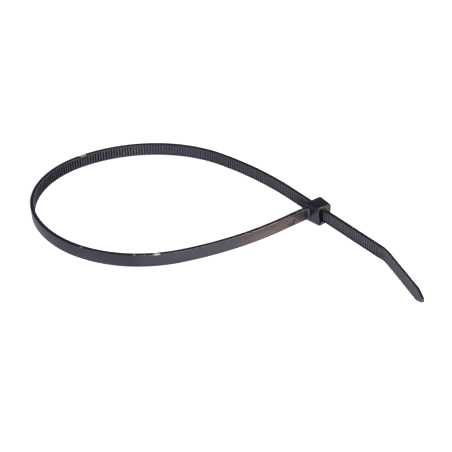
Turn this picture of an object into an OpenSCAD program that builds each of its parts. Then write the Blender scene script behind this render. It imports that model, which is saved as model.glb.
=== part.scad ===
// A one-piece moulded cable tie of black nylon, closed into a loop that lies on its side.
// The strap leaves the head along -X, goes round clockwise, comes back along -Y through the slot
// in the head, and ends in a bent, notched tail. Millimetres, +Z up, the head's lower side at Z = 0.

/* [Strap] */
// Width of the strap, which stands upright
strap_w = 5; // [3.6:0.1:7.6]
// Thickness of the strap over its smooth rails
strap_t = 1.4; // [1.1:0.05:1.8]
// Width of the smooth rail on each side of the teeth
rail_w = 0.6; // [0.4:0.05:1]
// Rounding of the long edges on the smooth outer face
outer_edge_r = 0.25; // [0.15:0.05:0.45]
// Rounding of the long edges on the toothed inner face
inner_edge_r = 0.1; // [0.05:0.05:0.25]

/* [Teeth] */
// Distance from one tooth to the next
tooth_pitch = 1.15; // [0.9:0.05:1.6]
// Height of a tooth from its root to its crest
tooth_h = 0.46; // [0.25:0.01:0.55]
// Length of the flat on top of a tooth
crest_flat = 0.25; // [0.1:0.05:0.4]
// How far the crests lie below the rails
crest_drop = 0.05; // [0.04:0.01:0.15]
// Plain strap between the head and the first tooth
tooth_start = 13.7; // [12.7:0.1:40]

/* [Loop] */
// Straight strap from the head to the first bend
lead_len = 12.7; // [11:0.1:25]
// Straight strap from the last bend to the middle of the slot
run_len = 14.5; // [6:0.5:25]
// Bend radius of the long near side
near_side_r = 116; // [80:1:150]
// Turn of the long near side, in degrees
near_side_turn = 19.6; // [14:0.2:24]
// Bend radius where the near side turns up
near_turn_r = 45.8; // [38:0.2:54]
// Turn where the near side turns up, in degrees
near_turn_turn = 81.3; // [74:0.2:88]
// Turn where the far side starts, in degrees
far_turn_turn = 72.7; // [66:0.2:79]
// Bend radius of the long far side
far_side_r = 131.9; // [95:1:165]
// Turn of the long far side, in degrees
far_side_turn = 16.5; // [12:0.2:21]

/* [Tail] */
// Straight toothed tail from the middle of the slot to the bend
tail_len = 34.3; // [20:0.5:80]
// Bend radius of the tail
tail_bend_r = 17; // [10:0.5:30]
// Turn of the tail's bend, in degrees
tail_bend_turn = 17.7; // [8:0.5:30]
// Straight end of the tail after the bend
tip_len = 24.9; // [23:0.5:40]
// Thickness of the tail after the teeth
tip_t = 1; // [0.8:0.05:1.1]
// Length of the slope from the strap's thickness down to the tail's
tip_slope_len = 2.5; // [1.5:0.5:5]
// Length of the tail's point
point_len = 3.7; // [2:0.1:6]
// Width of the tail's blunt end
point_w = 1.6; // [0.8:0.1:2.4]

/* [Grip notches] */
// Pairs of notches on the tail's edges
notch_pairs = 6; // [3:1:6]
// Distance from one pair of notches to the next
notch_pitch = 3.1; // [2:0.1:3.5]
// Distance from the start of the point back to the last pair
notch_back = 2.1; // [1:0.1:4]
// Radius of a notch's round groove
notch_r = 0.3; // [0.2:0.05:0.6]
// How far a notch reaches in from the strap's edge
notch_reach = 0.55; // [0.3:0.05:1]

/* [Head] */
// Width of the head, along the strap's width
head_w = 8.2; // [6.4:0.1:11]
// From the middle of the slot to the head's side where the strap joins, at the entry face
head_near = 3.9; // [3.6:0.1:5]
// From the middle of the slot to the head's end, at the entry face
head_far = 4.1; // [2.8:0.1:6]
// How far the near side leans in from the entry face to the exit face
near_draft = 0.85; // [0:0.05:1.15]
// How far the far end leans in from the entry face to the exit face
far_draft = 0.65; // [0:0.05:1.2]
// How far the entry face stands proud of the strap's inner face
entry_proud = 0.25; // [0.1:0.05:1]
// From the strap's centre line to the exit face, at its near edge
exit_reach = 5.2; // [4.8:0.1:8]
// How much lower the exit face is at its far edge
exit_fall = 0.2; // [0:0.05:1.2]
// Rounding of the head's four edges that run along the slot
head_corner_r = 1.6; // [0.6:0.05:2]
// Rounding of the rims of the entry and exit faces
head_rim_r = 0.35; // [0.15:0.05:0.5]
// Hollow between the strap's outer face and the head's near side
root_fillet_r = 1; // [0.4:0.1:1.6]

/* [Slot and pawl] */
// Clearance round the strap in the slot
slot_clear = 0.15; // [0.1:0.01:0.25]
// Lead-in chamfer at the slot's entry
slot_lead_in = 0.35; // [0.1:0.05:0.45]
// Thickness of the pawl behind its teeth
pawl_t = 0.9; // [0.5:0.05:1.1]
// Gap behind the pawl that lets it bend away
pawl_gap = 0.7; // [0.3:0.05:0.8]
// Depth of that gap from the exit face
pawl_len = 4; // [3:0.1:4.4]
// How far the pawl's end lies below the exit face
pawl_recess = 0.6; // [0.3:0.05:1]
// Clearance between the pawl's teeth and the strap's
mesh_clear = 0.08; // [0.06:0.01:0.1]

/* [Ejector mark] */
// Distance of the round mark from the head, on the strap's outer face
mark_from_head = 8.2; // [6:0.1:10.5]
// Diameter of the mark
mark_d = 3.5; // [2:0.1:4]
// Depth of the mark
mark_depth = 0.15; // [0.05:0.01:0.2]

/* [Hidden] */
nylon = [0.1, 0.1, 0.11];
$fn = 64;
// how far a cut runs past the face that it opens, and a joined piece into what carries it
over = 0.5;
// facets on each rounded edge of the strap
edge_steps = 2;
// facets of the head's rounded edges
round_fn = 24;
// longest step between sections round a bend, and between points along a cut
ring_step = 3;
// how far the strap's root runs into the head's near side
root_sink = 1;
// how deep the hollow corner's round cut bites into the strap, so that it meets no face edge on
fillet_bite = 0.02;

// The strap's centre line: the end of each arc for a radius of 1, from its two headings
function arc_step(h0, h1) = [sin(h0) - sin(h1), cos(h1) - cos(h0)];
full_turn = 270;
end_turn = full_turn - near_side_turn - near_turn_turn - far_turn_turn - far_side_turn;
h_lead = 180;
h1 = h_lead - near_side_turn;
h2 = h1 - near_turn_turn;
h3 = h2 - end_turn;
h4 = h3 - far_turn_turn;
h5 = h4 - far_side_turn;
e1 = arc_step(h_lead, h1);
e2 = arc_step(h1, h2);
e3 = arc_step(h2, h3);
e4 = arc_step(h3, h4);
e5 = arc_step(h4, h5);
// the two radii at the loop's far end follow, so that the strap meets the slot squarely
miss = [head_near + lead_len, run_len] - near_side_r * e1 - near_turn_r * e2 - far_side_r * e5;
det = e3[0] * e4[1] - e4[0] * e3[1];
end_r = (miss[0] * e4[1] - e4[0] * miss[1]) / det;
far_turn_r = (e3[0] * miss[1] - miss[0] * e3[1]) / det;

// each stretch of the path: its length, its turn clockwise and its radius
function straight(len) = [len, 0, 0];
function bend(r, turn) = [r * turn * PI / 180, turn, r];
PATH = [
    straight(lead_len),
    bend(near_side_r, near_side_turn),
    bend(near_turn_r, near_turn_turn),
    bend(end_r, end_turn),
    bend(far_turn_r, far_turn_turn),
    bend(far_side_r, far_side_turn),
    straight(run_len + tail_len),
    bend(tail_bend_r, tail_bend_turn),
    straight(tip_len)
];
function left(h) = [-sin(h), cos(h)];
function ahead(h) = [cos(h), sin(h)];
// where a point is, and its heading, after a distance d along one stretch
function walk(p, h, st, d) =
    st[1] == 0 ? [p + d * ahead(h), h]
    : let (h2 = h - st[1] * d / st[0]) [p - st[2] * left(h) + st[2] * left(h2), h2];
// where each stretch starts: the distance from the head, the point and the heading
STARTS = [
    for (i = 0, s = 0, p = [-head_near, 0], h = h_lead;
         i < len(PATH);
         q = walk(p, h, PATH[i], PATH[i][0]), s = s + PATH[i][0], p = q[0], h = q[1], i = i + 1)
    [s, p, h]
];
function stretch_at(s, i = 0) = i == len(PATH) - 1 || s < STARTS[i + 1][0] ? i : stretch_at(s, i + 1);
function place(s) = let (i = stretch_at(s)) walk(STARTS[i][1], STARTS[i][2], PATH[i], s - STARTS[i][0]);
// a point at a distance s from the head and n from the centre line, towards the outer face
function at(s, n) = let (q = place(s)) q[0] + n * left(q[1]);

bend_s = STARTS[7][0];
tip_s = STARTS[8][0];
end_s = tip_s + tip_len;
point_s = end_s - point_len;
slot_s = bend_s - tail_len;
strap_z = (head_w - strap_w) / 2;
inner_n = -strap_t / 2;
crest_n = inner_n + crest_drop;
root_n = crest_n + tooth_h;
teeth = floor((bend_s - tooth_start) / tooth_pitch);
function tooth_s(k) = tooth_start + k * tooth_pitch;
// one tooth: the crest's flat, the ramp down to the root, and the steep face of the next tooth
function tooth_points(k, ds = 0, dn = 0) = [
    at(tooth_s(k) + ds, crest_n + dn),
    at(tooth_s(k) + crest_flat + ds, crest_n + dn),
    at(tooth_s(k + 1) + ds, root_n + dn)
];

// the strap's section at a distance s from the head: points of n and z, round the section
function inner_at(s) = s <= bend_s ? inner_n : inner_n + (strap_t - tip_t) * min(1, (s - bend_s) / tip_slope_len);
function half_w_at(s) = s <= point_s ? strap_w / 2 : (strap_w - (strap_w - point_w) * (s - point_s) / point_len) / 2;
function corner(n, z, r, from) = [
    for (i = [0 : edge_steps])
        [n + r * cos(from + i * 90 / edge_steps), z + r * sin(from + i * 90 / edge_steps)]
];
function section(s) =
    let (o = strap_t / 2 - outer_edge_r, i = inner_at(s) + inner_edge_r, w = half_w_at(s))
    concat(
        corner(o, outer_edge_r - w, outer_edge_r, -90),
        corner(o, w - outer_edge_r, outer_edge_r, 0),
        corner(i, w - inner_edge_r, inner_edge_r, 90),
        corner(i, inner_edge_r - w, inner_edge_r, 180)
    );

// the places where the section is set out: every change, and short steps round the bends
function sorted(v) = len(v) < 2 ? v
    : concat(sorted([for (x = v) if (x < v[0]) x]), [v[0]], sorted([for (x = v) if (x > v[0]) x]));
KNOTS = sorted(concat([for (q = STARTS) if (q[0] > 0) q[0]], [-root_sink, bend_s + tip_slope_len, point_s, end_s]));
function cuts(a, b) = PATH[stretch_at((a + b) / 2)][1] == 0 ? 1 : ceil((b - a) / ring_step);
RINGS = [
    for (k = [0 : len(KNOTS) - 2]) let (m = cuts(KNOTS[k], KNOTS[k + 1]))
        for (j = [0 : m - 1]) KNOTS[k] + (KNOTS[k + 1] - KNOTS[k]) * j / m,
    end_s
];
// one swept solid: the section carried along the centre line
module strap_blank() {
    mid_z = head_w / 2;
    m = len(section(0));
    points = [for (s = RINGS) for (q = section(s)) let (xy = at(s, q[0])) [xy[0], xy[1], mid_z + q[1]]];
    sides = [
        for (k = [0 : len(RINGS) - 2]) for (i = [0 : m - 1])
            [k * m + i, (k + 1) * m + i, (k + 1) * m + (i + 1) % m, k * m + (i + 1) % m]
    ];
    root_end = [for (i = [0 : m - 1]) i];
    tail_end = [for (i = [m - 1 : -1 : 0]) (len(RINGS) - 1) * m + i];
    polyhedron(points = points, faces = concat([root_end], sides, [tail_end]));
}

// what lies between the rails, above the teeth
module tooth_cut() {
    saw = [for (k = [0 : teeth - 1]) each tooth_points(k)];
    last = tooth_s(teeth);
    steps = ceil((last - tooth_start) / ring_step);
    lid = [for (i = [steps : -1 : 0]) at(tooth_start + (last - tooth_start) * i / steps, inner_n - over)];
    translate([0, 0, strap_z + rail_w])
        linear_extrude(strap_w - 2 * rail_w)
            polygon(concat(saw, lid));
}

// a round groove from each edge of the tail, at a distance s from the head
module notch_pair(s) {
    p = at(s, inner_n + strap_t - tip_t);
    for (z = [strap_z - over, strap_z + strap_w - notch_reach])
        translate([p[0], p[1], z])
            cylinder(r = notch_r, h = notch_reach + over);
}

// the faint round mark that an ejector pin leaves
module ejector_mark() {
    translate([-head_near - mark_from_head, -strap_t / 2 + mark_depth, strap_z + strap_w / 2])
        rotate([90, 0, 0])
            cylinder(d = mark_d, h = over);
}

module strap() {
    difference() {
        strap_blank();
        tooth_cut();
        ejector_mark();
        for (k = [0 : notch_pairs - 1])
            notch_pair(point_s - notch_back - k * notch_pitch);
    }
}

entry_y = strap_t / 2 + entry_proud;
exit_near_y = -exit_reach;
exit_far_y = -exit_reach + exit_fall;

// one rounded corner of the head: a ring with a round edge, its axis along the slot
module head_corner(x, y, z) {
    translate([x, y, z])
        rotate([90, 0, 0])
            rotate_extrude($fn = round_fn)
                translate([head_corner_r - head_rim_r, 0])
                    circle(r = head_rim_r, $fn = round_fn / 2);
}

module head_block() {
    r = head_corner_r;
    rim = head_rim_r;
    hull()
        for (z = [r, head_w - r]) {
            head_corner(-head_near + r, entry_y - rim, z);
            head_corner(head_far - r, entry_y - rim, z);
            head_corner(-head_near + near_draft + r, exit_near_y + rim, z);
            head_corner(head_far - far_draft - r, exit_far_y + rim, z);
        }
}

// hollow corner between the strap's outer face and the head
module root_fillet() {
    r = root_fillet_r;
    y = -strap_t / 2;
    translate([0, 0, strap_z + outer_edge_r])
        linear_extrude(strap_w - 2 * outer_edge_r)
            difference() {
                translate([-head_near - r / 2, y - r])
                    square([r + over, r + over / 2]);
                translate([-head_near - r / 2, y - r + fillet_bite])
                    circle(r = r);
            }
}

// the way through the head, wider behind the pawl
slot_near_x = -strap_t / 2 - slot_clear;
slot_far_x = strap_t / 2 + slot_clear;
pawl_back_x = -strap_t / 2 - mesh_clear - pawl_t;
pawl_root_y = exit_near_y + pawl_len;
module slot() {
    translate([0, 0, strap_z - slot_clear])
        linear_extrude(strap_w + 2 * slot_clear)
            polygon([
                [slot_near_x - slot_lead_in - over, entry_y + over],
                [slot_near_x, entry_y - slot_lead_in],
                [slot_near_x, pawl_root_y],
                [pawl_back_x - pawl_gap, pawl_root_y],
                [pawl_back_x - pawl_gap, exit_near_y - over],
                [slot_far_x, exit_near_y - over],
                [slot_far_x, entry_y - slot_lead_in],
                [slot_far_x + slot_lead_in + over, entry_y + over]
            ]);
}

// the tongue that locks the strap; its teeth follow the strap's own, a clearance apart
module pawl() {
    tip_y = exit_near_y + pawl_recess;
    // y falls along the strap here, and a distance s lies at y = slot_s - s
    first_tooth = ceil((slot_s - pawl_root_y + mesh_clear - tooth_start) / tooth_pitch);
    last_tooth = floor((slot_s - tip_y + mesh_clear - tooth_start) / tooth_pitch) - 1;
    face = [for (k = [first_tooth : last_tooth]) each tooth_points(k, -mesh_clear, -mesh_clear)];
    band_z = strap_z + rail_w + slot_clear;
    translate([0, 0, band_z])
        linear_extrude(head_w - 2 * band_z)
            polygon(concat(
                [[pawl_back_x, pawl_root_y + over], [slot_near_x, pawl_root_y + over]],
                [[slot_near_x, pawl_root_y]],
                face,
                [[crest_n - mesh_clear, at(tooth_s(last_tooth + 1) - mesh_clear, 0)[1]]],
                [[pawl_back_x, tip_y]]
            ));
}

module head() {
    difference() {
        head_block();
        slot();
    }
    pawl();
    root_fillet();
}

module cable_tie() {
    color(nylon) {
        head();
        strap();
    }
}

cable_tie();
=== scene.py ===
import math

import bmesh
import bpy
from mathutils import Matrix, Vector


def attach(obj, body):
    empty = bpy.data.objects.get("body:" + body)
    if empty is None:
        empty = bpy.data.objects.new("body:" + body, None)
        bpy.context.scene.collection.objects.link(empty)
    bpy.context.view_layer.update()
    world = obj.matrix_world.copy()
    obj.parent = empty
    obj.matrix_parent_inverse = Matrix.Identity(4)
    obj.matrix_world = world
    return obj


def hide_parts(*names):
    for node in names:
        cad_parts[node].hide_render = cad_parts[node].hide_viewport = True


# A black nylon cable tie closed into a loop, lying on its side on a white table.
# Shapes are worked out in millimetres in the CAD frame and become metres when a piece is finished.

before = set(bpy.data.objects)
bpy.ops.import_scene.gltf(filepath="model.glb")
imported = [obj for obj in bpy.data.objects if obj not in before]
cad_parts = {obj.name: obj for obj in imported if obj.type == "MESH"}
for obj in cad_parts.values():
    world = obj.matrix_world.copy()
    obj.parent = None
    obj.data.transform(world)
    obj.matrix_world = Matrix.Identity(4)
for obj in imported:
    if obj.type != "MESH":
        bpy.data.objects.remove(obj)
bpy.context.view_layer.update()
mm = 0.001
print("frame loaded")


# Camera
cameraSetup = {
    "place": (-208.50, -236.95, 210.70),  # mm
    "looksAt": (-30.31, 14.76, 1.70),
    "roll": -2.06,  # degrees, the picture's right side stands a little high
    "lens": 80.64,
    "sensor": 36.0,
    "clip": (0.01, 20),  # metres
}


def aimed(place, target):
    # where a camera or a lamp stands and the way it looks
    turn = (Vector(target) - Vector(place)).to_track_quat("-Z", "Y")
    return Matrix.Translation(place) @ turn.to_matrix().to_4x4()


def makeCamera(c):
    data = bpy.data.cameras.new("photoCamera")
    data.lens = c["lens"]
    data.sensor_width = c["sensor"]
    data.clip_start, data.clip_end = c["clip"]
    camera = bpy.data.objects.new("photoCamera", data)
    bpy.context.scene.collection.objects.link(camera)
    roll = Matrix.Rotation(math.radians(c["roll"]), 4, "Z")
    camera.matrix_world = aimed(Vector(c["place"]) * mm, Vector(c["looksAt"]) * mm) @ roll
    bpy.context.scene.camera = camera


makeCamera(cameraSetup)
bpy.context.scene.view_settings.view_transform = "Standard"
print("camera set")


# Helpers
meshing = {
    "merge": 0.0005,  # mm, points nearer than this become one
    "sliver": 0.0003,
    "cutSliver": 0.01,  # mm, edges shorter than this go after a cut
    "smoothAngle": 32,  # degrees
}
tiny = 1e-6  # mm


def linear(hexColour):
    # sRGB hex to the linear colour that the shader works in
    parts = [int(hexColour[i : i + 2], 16) / 255 for i in (1, 3, 5)]
    return tuple(p / 12.92 if p <= 0.04045 else ((p + 0.055) / 1.055) ** 2.4 for p in parts) + (1.0,)


def emptyTree(owner):
    # the cleared nodes of a material or a world
    owner.use_nodes = True
    owner.node_tree.nodes.clear()
    return owner.node_tree


def addNode(tree, kind, settings=None, links=None):
    # one node: attribute or socket settings, then links as {input: (node, output)}
    node = tree.nodes.new("ShaderNode" + kind)
    for key, value in (settings or {}).items():
        if isinstance(key, str) and hasattr(node, key):
            setattr(node, key, value)
        else:
            node.inputs[key].default_value = value
    for key, (source, output) in (links or {}).items():
        tree.links.new(source.outputs[output], node.inputs[key])
    return node


def shadeSmooth(mesh):
    for p in mesh.polygons:
        p.use_smooth = True
    mesh.set_sharp_from_angle(angle=math.radians(meshing["smoothAngle"]))


def finishPiece(name, bm, material):
    bmesh.ops.remove_doubles(bm, verts=bm.verts, dist=meshing["merge"])
    bmesh.ops.dissolve_degenerate(bm, edges=bm.edges, dist=meshing["sliver"])
    bmesh.ops.recalc_face_normals(bm, faces=bm.faces)
    bmesh.ops.scale(bm, vec=(mm, mm, mm), verts=bm.verts)
    mesh = bpy.data.meshes.new(name)
    bm.to_mesh(mesh)
    bm.free()
    mesh.materials.append(material)
    shadeSmooth(mesh)
    piece = bpy.data.objects.new(name, mesh)
    bpy.context.scene.collection.objects.link(piece)
    return piece


def carve(piece, cutters):
    # cuts the cutter objects out of a piece for good, and removes them
    for cutter in cutters:
        cut = piece.modifiers.new("cut", "BOOLEAN")
        cut.operation = "DIFFERENCE"
        cut.solver = "EXACT"
        cut.object = cutter
    carved = bpy.data.meshes.new_from_object(piece.evaluated_get(bpy.context.evaluated_depsgraph_get()))
    bm = bmesh.new()
    bm.from_mesh(carved)
    bmesh.ops.dissolve_degenerate(bm, edges=bm.edges, dist=meshing["cutSliver"] * mm)
    bm.to_mesh(carved)
    bm.free()
    shadeSmooth(carved)
    piece.modifiers.clear()
    piece.data = carved
    for cutter in cutters:
        bpy.data.objects.remove(cutter)


def prism(bm, outline, zLow, zHigh):
    # a flat outline drawn up into a solid
    face = bm.faces.new([bm.verts.new((x, y, zLow)) for x, y in outline])
    raised = bmesh.ops.extrude_face_region(bm, geom=[face])["geom"]
    top = [g for g in raised if isinstance(g, bmesh.types.BMVert)]
    bmesh.ops.translate(bm, vec=(0, 0, zHigh - zLow), verts=top)


def roundOff(bm, geom, radius, segments, affect="EDGES"):
    bmesh.ops.bevel(bm, geom=geom, offset=radius, segments=segments, profile=0.5, affect=affect, material=-1)


# Material
nylonLook = {
    "colour": "#12151e",
    "worn": "#191c27",
    "ior": 1.53,
    "roughness": 0.24,
    "roughnessSpread": 0.05,
    "flowMm": 18.0,  # the slow unevenness that the melt leaves
    "flowDetail": 3.0,
    "flowRange": (0.3, 0.7),
    "grainMm": 0.5,  # the mould's fine texture, drawn coarse enough to show
    "grainDetail": 4.0,
    "grainRoughness": 0.6,
    "grainStrength": 0.25,
    "grainDepth": 0.02,  # mm
    "shine": 0.6,
    "ridgeShine": 0.36,  # added on the teeth's crests and the outer edges
    "valley": -0.7,  # the share of it that a tooth's valley gets
    "sheen": "#e6eeff",
    "paintedGlints": [  # painted glints: place and reach of each in mm, a little above the strap, so only its upper edge is met
        (-63.6, 9.7, 8.6, 2.5),
        (-70.1, 14.3, 8.6, 2.15),
        (-82.2, 30.1, 8.6, 2.15),
        (-49.3, 87.2, 8.8, 3.0),
    ],
    "glintCore": 0.85,  # the share of the reach at which a painted glint has its full strength
    "glintStrength": 1.4,
    # the pale colour of the painted glints
    "glintColour": "#ccc8c4",
    "markPlace": (-12.1, -0.7, 4.1),
    "markAcross": 3.5,
    "markDull": 0.12,
    # the ring of painted shade about the disc: its width in mm, the shine it takes away, and its colour
    "markLine": 0.22,
    "markLineShine": -0.4,
    "markRimShade": "#07080b",
}


def blackNylon(c):
    # injection-moulded polyamide 6.6, black: a satin skin that shows soft, slightly uneven reflections
    material = bpy.data.materials.new("mouldedBlackNylon")
    tree = emptyTree(material)
    place = addNode(tree, "TexCoord")
    here = {"Vector": (place, "Object")}
    flow = addNode(tree, "TexNoise", {"Scale": 1 / (c["flowMm"] * mm), "Detail": c["flowDetail"]}, here)
    grainSettings = {
        "Scale": 1 / (c["grainMm"] * mm),
        "Detail": c["grainDetail"],
        "Roughness": c["grainRoughness"],
    }
    grain = addNode(tree, "TexNoise", grainSettings, here)
    tintSettings = {"data_type": "RGBA", 6: linear(c["colour"]), 7: linear(c["worn"])}
    tint = addNode(tree, "Mix", tintSettings, {0: (flow, "Fac")})
    dullSettings = {
        "From Min": c["flowRange"][0],
        "From Max": c["flowRange"][1],
        "To Min": c["roughness"] - c["roughnessSpread"],
        "To Max": c["roughness"] + c["roughnessSpread"],
    }
    dull = addNode(tree, "MapRange", dullSettings, {"Value": (flow, "Fac")})

    # the ejector pin's face left a duller disc; the fine dark ring about it is painted shade along the
    # disc's edge
    stretch = Vector((1, 2, 1))  # y counts double, so the strap's other face stays plain
    stretched = addNode(tree, "VectorMath", {"operation": "MULTIPLY", 1: stretch}, {0: (place, "Object")})
    centre = Vector(c["markPlace"]) * mm * stretch
    apart = addNode(tree, "VectorMath", {"operation": "DISTANCE", 1: centre}, {0: (stretched, 0)})
    radius = c["markAcross"] / 2 * mm
    inside = addNode(tree, "Math", {"operation": "LESS_THAN", 1: radius}, {0: (apart, "Value")})
    lineSettings = {"operation": "COMPARE", 1: radius, 2: c["markLine"] * mm / 2}
    onLine = addNode(tree, "Math", lineSettings, {0: (apart, "Value")})
    discSettings = {"operation": "MULTIPLY_ADD", 1: c["markDull"]}
    disc = addNode(tree, "Math", discSettings, {0: (inside, 0), 2: (dull, "Result")})
    rimShadeSettings = {"data_type": "RGBA", 7: linear(c["markRimShade"])}
    rimShaded = addNode(tree, "Mix", rimShadeSettings, {0: (onLine, 0), 6: (tint, 2)})

    # a few painted glints on the upper edges: pale spots in the base colour, broken up by the grain
    glint = None
    for x, y, z, reach in c["paintedGlints"]:
        glintAt = (x * mm, y * mm, z * mm)
        away = addNode(tree, "VectorMath", {"operation": "DISTANCE", 1: glintAt}, {0: (place, "Object")})
        spotSettings = {
            "From Min": reach * mm,
            "From Max": reach * c["glintCore"] * mm,
            "To Min": 0.0,
            "To Max": c["glintStrength"],
        }
        spot = addNode(tree, "MapRange", spotSettings, {"Value": (away, "Value")})
        glint = addNode(tree, "Math", {"operation": "MAXIMUM"}, {0: (spot, 0), 1: (glint, 0)}) if glint else spot
    broken = addNode(tree, "Math", {"operation": "MULTIPLY"}, {0: (glint, 0), 1: (grain, "Fac")})
    glintSettings = {"data_type": "RGBA", 7: linear(c["glintColour"])}
    glinted = addNode(tree, "Mix", glintSettings, {0: (broken, 0), 6: (rimShaded, 2)})

    # the crests of the teeth and the outer edges are rubbed bright, and the valleys hold the light back
    ridge = addNode(tree, "Attribute", {"attribute_name": "ridge"})
    polish = addNode(tree, "Clamp", {"Min": c["valley"], "Max": 1.0}, {"Value": (ridge, "Fac")})
    shineSettings = {"operation": "MULTIPLY_ADD", 1: c["ridgeShine"], 2: c["shine"]}
    shine = addNode(tree, "Math", shineSettings, {0: (polish, 0)})
    # the ring of painted shade about the mark also takes shine away
    glossSettings = {"operation": "MULTIPLY_ADD", 1: c["markLineShine"]}
    gloss = addNode(tree, "Math", glossSettings, {0: (onLine, 0), 2: (shine, 0)})
    bumpSettings = {"Strength": c["grainStrength"], "Distance": c["grainDepth"] * mm}
    bump = addNode(tree, "Bump", bumpSettings, {"Height": (grain, "Fac")})
    skinLinks = {
        "Base Color": (glinted, 2),
        "Roughness": (disc, 0),
        "Specular IOR Level": (gloss, 0),
        "Normal": (bump, "Normal"),
    }
    skin = addNode(tree, "BsdfPrincipled", {"IOR": c["ior"], "Specular Tint": linear(c["sheen"])}, skinLinks)
    addNode(tree, "OutputMaterial", {}, {"Surface": (skin, "BSDF")})
    return material


nylon = blackNylon(nylonLook)
print("material made")


# The strap's path
strapPath = {
    "lead": 12.7,
    "run": 14.5,
    "nearSide": (116.0, 19.6),  # radius, turn in degrees
    "nearTurn": (45.8, 81.3),
    "farTurn": 72.7,
    "farSide": (131.9, 16.5),
    "loopTurn": 270,  # degrees, from the head round to the head
    "tail": 34.3,
    "tailBend": (17.0, 17.7),
    "tip": 24.9,
    "rootX": -3.9,
}


def ahead(h):
    return Vector((math.cos(h), math.sin(h), 0))


def left(h):
    return Vector((-math.sin(h), math.cos(h), 0))


def makePath(c):
    # stretches of the centre line as (length, turn clockwise in radians, radius)
    sizes = [c["nearSide"], c["nearTurn"], (0, 0), (0, c["farTurn"]), c["farSide"]]
    radii = [radius for radius, degrees in sizes]
    turns = [math.radians(degrees) for radius, degrees in sizes]
    turns[2] = math.radians(c["loopTurn"]) - sum(turns)
    headings = [math.pi]
    for t in turns:
        headings.append(headings[-1] - t)
    # how far each bend goes for a radius of 1, and what the given bends leave to the other two
    arcs = []
    for a, b in zip(headings, headings[1:]):
        arcs.append(Vector((math.sin(a) - math.sin(b), math.cos(b) - math.cos(a))))
    miss = Vector((-c["rootX"] + c["lead"], c["run"]))
    for r, arc in zip(radii, arcs):
        miss -= r * arc
    det = arcs[2].x * arcs[3].y - arcs[3].x * arcs[2].y
    radii[2] = (miss.x * arcs[3].y - arcs[3].x * miss.y) / det
    radii[3] = (arcs[2].x * miss.y - miss.x * arcs[2].y) / det
    bends = [(r * t, t, r) for r, t in zip(radii, turns)]
    tailR, tailTurn = c["tailBend"][0], math.radians(c["tailBend"][1])
    tail = [(c["run"] + c["tail"], 0, 0), (tailR * tailTurn, tailTurn, tailR), (c["tip"], 0, 0)]
    return [(c["lead"], 0, 0)] + bends + tail


def walk(p, h, stretch, d):
    # the point and heading a distance d on from the start of a stretch
    length, turn, r = stretch
    if turn == 0:
        return p + ahead(h) * d, h
    h2 = h - turn * d / length
    return p - r * left(h) + r * left(h2), h2


stretches = makePath(strapPath)
starts = []
sHere, pHere, hHere = 0.0, Vector((strapPath["rootX"], 0, 0)), math.pi
for part in stretches:
    starts.append((sHere, pHere, hHere))
    pHere, hHere = walk(pHere, hHere, part, part[0])
    sHere += part[0]
endS = sHere
bendS = starts[-2][0]  # where the tail bends


def locate(s):
    # the stretch at a distance s from the head, and the centre line's point and heading there
    i = max([k for k, start in enumerate(starts) if s >= start[0] - tiny] or [0])
    return (i, *walk(starts[i][1], starts[i][2], stretches[i], s - starts[i][0]))


def at(s, n):
    # a point at a distance s from the head and n from the centre line, towards the outer face
    i, p, h = locate(s)
    return p + left(h) * n


print("path is", round(endS, 1), "mm long")


# Strap
strapShape = {
    "width": 5.0,
    "thick": 1.4,
    "rail": 0.6,
    "outerEdge": 0.25,
    "outerSegments": 4,
    "innerEdge": 0.1,
    "innerSegments": 2,
    "lowZ": 1.6,
    "inHead": 1.0,  # how deep in the head the strap begins
    "step": 1.6,  # mm between rings on a bend
    "tipThick": 1.0,
    "tipSlope": 2.5,
    "slopeSteps": 5,
    "point": 3.7,
    "pointWidth": 1.6,
    "toothStart": 13.7,
    "pitch": 1.15,
    "tooth": 0.46,
    "crest": 0.25,
    "crestDrop": 0.05,
    "crestRound": 0.07,
    "crestSegments": 2,
    "floorDrop": 0.04,  # from the teeth's roots to the channel's floor
    "underRoots": 0.15,  # the row of teeth goes on this far below its roots
    "intoRail": 0.03,  # and this far into each rail
}
toothCount = int((bendS - strapShape["toothStart"]) / strapShape["pitch"])
toothEnd = strapShape["toothStart"] + toothCount * strapShape["pitch"]
innerN = -strapShape["thick"] / 2
crestN = innerN + strapShape["crestDrop"]
rootN = crestN + strapShape["tooth"]


def strapSection(bm, c, s):
    # the section at s as a ring of edges, whose rounded corners become the strap's rounded long edges
    role = bm.verts.layers.int.new("role")  # 0 outer face, 1 inner face, 2 channel
    ridge = bm.verts.layers.float.new("ridge")  # 1 on the roundings of the outer edges
    outer, w, mid = c["thick"] / 2, c["width"] / 2, c["lowZ"] + c["width"] / 2
    channel = w - c["rail"]
    section = [(outer, -w, 0), (outer, w, 0), (innerN, w, 1), (innerN, channel, 1), (innerN, channel, 2)]
    section += [(innerN, -channel, 2), (innerN, -channel, 1), (innerN, -w, 1)]
    corners = []
    for n, z, kind in section:
        p = at(s, n)
        v = bm.verts.new((p.x, p.y, mid + z))
        v[role] = kind
        corners.append(v)
    for v, following in zip(corners, corners[1:] + corners[:1]):
        bm.edges.new((v, following))
    roundOff(bm, corners[0:2], c["outerEdge"], c["outerSegments"], "VERTICES")
    roundOff(bm, [corners[2], corners[7]], c["innerEdge"], c["innerSegments"], "VERTICES")
    hair = 0.001  # mm, what is nearer to a face than this lies on it
    for v in bm.verts:
        n = (v.co - at(s, 0)).dot(left(math.pi))
        if v[role] == 0 and n < 0:
            v[role] = 1
        v[ridge] = 1 if hair < outer - n < c["outerEdge"] - hair else 0
    return list(bm.edges)


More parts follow.
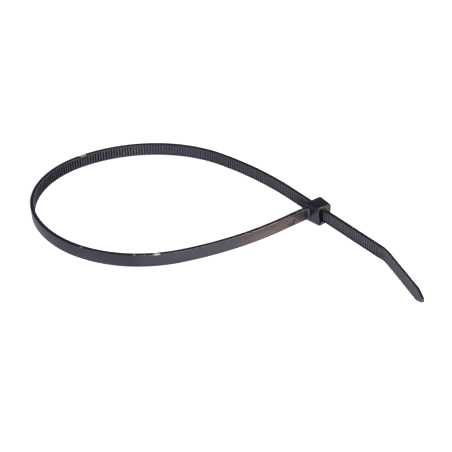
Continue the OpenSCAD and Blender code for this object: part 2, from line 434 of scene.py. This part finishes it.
def strapSkin(c):
    # the section is carried along the path by spins and straight extrusions;
    # the channel between the rails opens where the teeth begin and closes where they end
    bm = bmesh.new()
    ring = strapSection(bm, c, -c["inHead"])
    role = bm.verts.layers.int["role"]
    bmesh.ops.contextual_create(bm, geom=ring)

    def edgesOf(found):
        return [g for g in found if isinstance(g, bmesh.types.BMEdge)]

    def ringVerts(edges, roles=(0, 1, 2)):
        found = {v for e in edges for v in e.verts}
        return [v for v in found if v[role] in roles]

    def secondRing(edges):
        # a ring in the same place, joined to the first one
        keep = set(ringVerts(edges))
        new = edgesOf(bmesh.ops.extrude_edge_only(bm, edges=edges)["geom"])
        return [e for e in new if not (set(e.verts) & keep)]

    def onward(edges, a, b):
        # carries the ring from a to b in short steps, and returns the last ring
        while b - a > tiny:
            i, p, h = locate(a)
            length, turn, r = stretches[i]
            stop = min(b, starts[i][0] + length)
            d = stop - a
            if turn:
                spun = bmesh.ops.spin(
                    bm,
                    geom=ringVerts(edges) + edges,
                    cent=p - r * left(h),
                    axis=(0, 0, -1),
                    angle=turn * d / length,
                    steps=max(1, math.ceil(d / c["step"])),
                    use_merge=False,
                    use_duplicate=False,
                )
                edges = edgesOf(spun["geom_last"])
            else:
                edges = secondRing(edges)
                bmesh.ops.translate(bm, vec=ahead(h) * d, verts=ringVerts(edges))
            a = stop
        return edges

    def stepped(edges, s, depth):
        # a second ring at s, with the channel's floor moved
        new = secondRing(edges)
        bmesh.ops.translate(bm, vec=left(locate(s)[2]) * depth, verts=ringVerts(new, (2,)))
        return new

    floor = rootN + c["floorDrop"] - innerN
    ring = onward(ring, -c["inHead"], c["toothStart"])
    ring = stepped(ring, c["toothStart"], floor)
    ring = onward(ring, c["toothStart"], toothEnd)
    ring = stepped(ring, toothEnd, -floor)
    ring = onward(ring, toothEnd, bendS)
    drop = (c["thick"] - c["tipThick"]) / c["slopeSteps"]
    for k in range(c["slopeSteps"]):
        a = bendS + c["tipSlope"] * k / c["slopeSteps"]
        b = bendS + c["tipSlope"] * (k + 1) / c["slopeSteps"]
        ring = onward(ring, a, b)
        bmesh.ops.translate(bm, vec=left(locate(b)[2]) * drop, verts=ringVerts(ring, (1, 2)))
    ring = onward(ring, bendS + c["tipSlope"], endS - c["point"])
    ring = onward(ring, endS - c["point"], endS)
    mid = Vector((0, 0, c["lowZ"] + c["width"] / 2))
    squeeze = Matrix.Scale(c["pointWidth"] / c["width"], 4, (0, 0, 1))
    narrowed = Matrix.Translation(mid) @ squeeze @ Matrix.Translation(-mid)
    bmesh.ops.transform(bm, matrix=narrowed, verts=ringVerts(ring))
    bmesh.ops.contextual_create(bm, geom=ring)
    return bm


def toothRow(c):
    # the saw line and a line under the channel's floor, drawn up between the rails
    saw = []
    for k in range(toothCount):
        s = c["toothStart"] + k * c["pitch"]
        saw += [at(s, crestN), at(s + c["crest"], crestN), at(s + c["pitch"], rootN)]
    under = []
    count = toothCount * 2
    for k in range(count, -1, -1):
        s = c["toothStart"] + (toothEnd - c["toothStart"]) * k / count
        under.append(at(s, rootN + c["underRoots"]))
    bm = bmesh.new()
    low = c["lowZ"] + c["rail"] - c["intoRail"]
    high = c["lowZ"] + c["width"] - c["rail"] + c["intoRail"]
    prism(bm, [(p.x, p.y) for p in saw + under], low, high)

    def spotOf(p):
        return (round(p.x, 3), round(p.y, 3))

    # 1 on a crest and -3 at a root, so that it falls to -1 half way down to the valley
    levels = {spotOf(p): -3 if i % 3 == 2 else 1 for i, p in enumerate(saw)}
    ridge = bm.verts.layers.float.new("ridge")
    for v in bm.verts:
        v[ridge] = levels.get(spotOf(v.co), 0)
    # each crest's two edges are a little rounded, which draws the light line along every tooth
    upright = [e for e in bm.edges if (e.verts[0].co.xy - e.verts[1].co.xy).length < tiny]
    crests = [e for e in upright if levels.get(spotOf(e.verts[0].co)) == 1]
    roundOff(bm, crests, c["crestRound"], c["crestSegments"])
    return bm


gripNotches = {"pairs": 6, "pitch": 3.1, "back": 2.1, "radius": 0.3, "reach": 0.55, "segments": 32}
ejectorMark = {"fromHead": 8.2, "across": 3.5, "depth": 0.15, "segments": 48}


def cylinderCutter(name, place, direction, radius, length, segments):
    bm = bmesh.new()
    bmesh.ops.create_cone(bm, cap_ends=True, segments=segments, radius1=radius, radius2=radius, depth=length)
    turn = Vector(direction).to_track_quat("Z", "Y").to_matrix().to_4x4()
    bmesh.ops.transform(bm, matrix=Matrix.Translation(place) @ turn, verts=bm.verts)
    return finishPiece(name, bm, nylon)


def carveStrap(piece, c, notch, mark):
    cutters = []
    tipInner = innerN + c["thick"] - c["tipThick"]
    size = (notch["radius"], 2 * notch["reach"], notch["segments"])
    for k in range(notch["pairs"]):
        p = at(endS - c["point"] - notch["back"] - k * notch["pitch"], tipInner)
        for z in (c["lowZ"], c["lowZ"] + c["width"]):
            cutters.append(cylinderCutter("notchCut", (p.x, p.y, z), (0, 0, 1), *size))
    p = at(mark["fromHead"], c["thick"] / 2)
    size = (mark["across"] / 2, 2 * mark["depth"], mark["segments"])
    cutters.append(cylinderCutter("markCut", (p.x, p.y, c["lowZ"] + c["width"] / 2), (0, 1, 0), *size))
    carve(piece, cutters)


strap = finishPiece("tieStrap", strapSkin(strapShape), nylon)
carveStrap(strap, strapShape, gripNotches, ejectorMark)
teeth = finishPiece("tieTeeth", toothRow(strapShape), nylon)
print("strap made with", toothCount, "teeth")


# Head
headShape = {
    "width": 8.2,
    "nearEntryX": -3.9,
    "farEntryX": 4.1,
    "nearDraft": 0.85,
    "farDraft": 0.65,
    "entryY": 0.95,
    "exitNearY": -5.2,
    "exitFarY": -5.0,
    "cornerR": 1.6,
    "cornerSegments": 6,
    "rimR": 0.35,
    "rimSegments": 4,
    "rimAngle": 50,  # degrees, an edge sharper than this is a rim
    "slotClear": 0.15,
    "leadIn": 0.35,
    "beyond": 0.5,  # how far the slot's cutter stands out of the head
    "pawlThick": 0.9,
    "pawlGap": 0.7,
    "pawlLong": 4.0,
    "pawlRecess": 0.6,
    "pawlRoot": 0.5,  # how far the pawl goes on into the head
    "meshClear": 0.08,
    "filletR": 1.0,
    "filletSteps": 10,
    "filletIn": (0.5, 0.2),  # how far the fillet goes on into the head and into the strap
}
slotX = strapShape["thick"] / 2 + headShape["slotClear"]
pawlBackX = -strapShape["thick"] / 2 - headShape["meshClear"] - headShape["pawlThick"]
pawlRootY = headShape["exitNearY"] + headShape["pawlLong"]


def headBlock(c):
    bm = bmesh.new()
    outline = [
        (c["nearEntryX"], c["entryY"]),
        (c["nearEntryX"] + c["nearDraft"], c["exitNearY"]),
        (c["farEntryX"] - c["farDraft"], c["exitFarY"]),
        (c["farEntryX"], c["entryY"]),
    ]
    prism(bm, outline, 0, c["width"])
    halfLength = (c["entryY"] - c["exitNearY"]) / 2
    sides = [e for e in bm.edges if abs(e.verts[0].co.y - e.verts[1].co.y) > halfLength]
    roundOff(bm, sides, c["cornerR"], c["cornerSegments"])
    rimAngle = math.radians(c["rimAngle"])
    rims = [e for e in bm.edges if len(e.link_faces) == 2 and e.calc_face_angle() > rimAngle]
    roundOff(bm, rims, c["rimR"], c["rimSegments"])
    return bm


def slotCutter(c):
    bm = bmesh.new()
    entry, exitY, beyond = c["entryY"], c["exitNearY"], c["beyond"]
    reach = c["leadIn"] + beyond
    outline = [
        (-slotX - reach, entry + beyond),
        (-slotX, entry - c["leadIn"]),
        (-slotX, pawlRootY),
        (pawlBackX - c["pawlGap"], pawlRootY),
        (pawlBackX - c["pawlGap"], exitY - beyond),
        (slotX, exitY - beyond),
        (slotX, entry - c["leadIn"]),
        (slotX + reach, entry + beyond),
    ]
    low, high = strapShape["lowZ"], strapShape["lowZ"] + strapShape["width"]
    prism(bm, outline, low - c["slotClear"], high + c["slotClear"])
    return finishPiece("slotCut", bm, nylon)


def pawlTongue(c):
    # its teeth follow the strap's own, a clearance apart; a distance s lies at y = slotS - s here
    slotS = bendS - strapPath["tail"]
    tipY = c["exitNearY"] + c["pawlRecess"]
    t, clear = strapShape, c["meshClear"]
    first = math.ceil((slotS - pawlRootY + clear - t["toothStart"]) / t["pitch"])
    last = math.floor((slotS - tipY + clear - t["toothStart"]) / t["pitch"]) - 1
    crest, root = crestN - clear, rootN - clear
    face = []
    for k in range(first, last + 1):
        s = t["toothStart"] + k * t["pitch"] - clear
        face += [at(s, crest), at(s + t["crest"], crest), at(s + t["pitch"], root)]
    endY = at(t["toothStart"] + (last + 1) * t["pitch"] - clear, 0).y
    rootY = pawlRootY + c["pawlRoot"]
    outline = [(pawlBackX, rootY), (-slotX, rootY), (-slotX, pawlRootY)]
    outline += [(p.x, p.y) for p in face] + [(crest, endY), (pawlBackX, tipY)]
    bandZ = t["lowZ"] + t["rail"] + c["slotClear"]
    bm = bmesh.new()
    prism(bm, outline, bandZ, c["width"] - bandZ)
    return bm


def rootFillet(c):
    # the hollow corner where the strap's smooth face runs into the head
    r, steps = c["filletR"], c["filletSteps"]
    y = -strapShape["thick"] / 2
    cx, cy = c["nearEntryX"] - r / 2, y - r
    inHead, inStrap = cx + r + c["filletIn"][0], y + c["filletIn"][1]
    angles = [math.radians(90) * k / steps for k in range(steps + 1)]
    outline = [(cx + r * math.sin(a), cy + r * math.cos(a)) for a in angles]
    outline += [(inHead, cy), (inHead, inStrap), (cx, inStrap)]
    bm = bmesh.new()
    low = strapShape["lowZ"] + strapShape["outerEdge"]
    prism(bm, outline, low, low + strapShape["width"] - 2 * strapShape["outerEdge"])
    return bm


head = finishPiece("tieHead", headBlock(headShape), nylon)
carve(head, [slotCutter(headShape)])
pawl = finishPiece("tiePawl", pawlTongue(headShape), nylon)
fillet = finishPiece("tieRootFillet", rootFillet(headShape), nylon)
print("head made")

for piece in (strap, teeth, head, pawl, fillet):
    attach(piece, "root")
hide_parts("cable_tie")
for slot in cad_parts["cable_tie"].material_slots:
    slot.material = nylon


# Table and light
tableLook = {
    "size": 6.0,  # metres
    "colour": "#f4f4f4",
    "roughness": 0.3,
    "sheen": 1.0,
    "lift": 0.74,  # what the camera sees on top of the lit colour
    "mirrored": 0.1,  # the share of the lift that mirrored rays see
}


def backgroundRays(tree, mirrored=1.0):
    # 1 for the camera's rays, and the given share for mirrored ones and those through glass
    path = addNode(tree, "LightPath")
    indirect = {0: (path, "Is Glossy Ray"), 1: (path, "Is Transmission Ray")}
    either = addNode(tree, "Math", {"operation": "MAXIMUM"}, indirect)
    share = addNode(tree, "Math", {"operation": "MULTIPLY", 1: mirrored}, {0: (either, 0)})
    return addNode(tree, "Math", {"operation": "MAXIMUM"}, {0: (share, 0), 1: (path, "Is Camera Ray")})


def makeTable(c):
    # a plain satin white table, which mirrors the lamps into upright faces:
    # what is seen of it is lifted to white, and a trace of the shadow stays
    bm = bmesh.new()
    bmesh.ops.create_grid(bm, x_segments=1, y_segments=1, size=c["size"] / 2 / mm)
    material = bpy.data.materials.new("whiteTable")
    tree = emptyTree(material)
    paintSettings = {
        "Base Color": linear(c["colour"]),
        "Roughness": c["roughness"],
        "Specular IOR Level": c["sheen"],
    }
    paint = addNode(tree, "BsdfPrincipled", paintSettings)
    seen = backgroundRays(tree, c["mirrored"])
    amount = addNode(tree, "Math", {"operation": "MULTIPLY", 1: c["lift"]}, {0: (seen, 0)})
    glow = addNode(tree, "Emission", {"Color": (1, 1, 1, 1)}, {"Strength": (amount, 0)})
    both = addNode(tree, "AddShader", {}, {0: (paint, "BSDF"), 1: (glow, "Emission")})
    addNode(tree, "OutputMaterial", {}, {"Surface": (both, "Shader")})
    table = finishPiece("table", bm, material)


# places and sizes in metres, spread in degrees, power in watts
lamps = {
    "warmKey": {  # golden light on the near strap beside the head
        "place": (0.107, -0.2, 0.188),
        "aim": (-0.02, -0.01, 0),
        "size": 0.075,
        "tall": 0.05,
        "spread": 50,
        "power": 0.066,
        "colour": "#ffcb8c",
    },
    "softFront": {  # grey sheen along the right half of the near strap
        "place": (-0.015, -0.45, 0.305),
        "aim": (-0.045, 0.008, 0),
        "size": 0.46,
        "tall": 0.08,
        "power": 2.6,
        "colour": "#faf4fc",
    },
    "leftFront": {  # and along its left half
        "place": (-0.32, -0.38, 0.31),
        "aim": (-0.065, 0.012, 0),
        "size": 0.22,
        "tall": 0.08,
        "power": 1.2,
        "colour": "#f2f5ff",
    },
    "coolWindow": {  # bluish light on the loop's left end and the tail
        "place": (-0.90, -0.03, 0.66),
        "aim": (-0.05, 0.02, 0),
        "size": 0.66,
        "power": 3.4,
        "colour": "#b8d2ff",
    },
    "smallFront": {  # small glints from high up
        "place": (-0.28, -0.40, 0.72),
        "aim": (-0.05, 0.02, 0),
        "size": 0.06,
        "power": 0.4,
        "colour": "#e4ecff",
    },
}


def makeLamp(name, c):
    data = bpy.data.lights.new(name, "AREA")
    data.shape = "RECTANGLE" if "tall" in c else "DISK"
    data.size = c["size"]
    data.size_y = c.get("tall", c["size"])
    data.spread = math.radians(c.get("spread", 180))
    data.energy = c["power"]
    data.color = linear(c["colour"])[:3]
    lamp = bpy.data.objects.new(name, data)
    bpy.context.scene.collection.objects.link(lamp)
    lamp.matrix_world = aimed(c["place"], c["aim"])


roomLook = {
    "glow": 0.1,  # what lights the object from all round
    "sweep": 1.0,
    "sweepTop": 0.12,  # heights are the sine of the angle above the table
    "ceilingStart": 0.32,
    "ceiling": 0.1,
}


def makeRoom(c):
    # a white sweep stands behind the table and ends under a dark ceiling, which the upper faces mirror
    world = bpy.data.worlds.new("studio")
    bpy.context.scene.world = world
    tree = emptyTree(world)
    place = addNode(tree, "TexCoord")
    height = addNode(tree, "SeparateXYZ", {}, {0: (place, "Generated")})
    wallSettings = {
        "From Min": c["sweepTop"],
        "From Max": c["ceilingStart"],
        "To Min": c["sweep"],
        "To Max": c["ceiling"],
    }
    wall = addNode(tree, "MapRange", wallSettings, {"Value": (height, "Z")})
    strengthLinks = {0: (backgroundRays(tree), 0), 3: (wall, "Result")}
    strength = addNode(tree, "Mix", {"data_type": "FLOAT", 2: c["glow"]}, strengthLinks)
    light = addNode(tree, "Background", {"Color": (1, 1, 1, 1)}, {"Strength": (strength, 0)})
    addNode(tree, "OutputWorld", {}, {"Surface": (light, "Background")})


makeTable(tableLook)
for lampName, values in lamps.items():
    makeLamp(lampName, values)
makeRoom(roomLook)
print("table and light set")
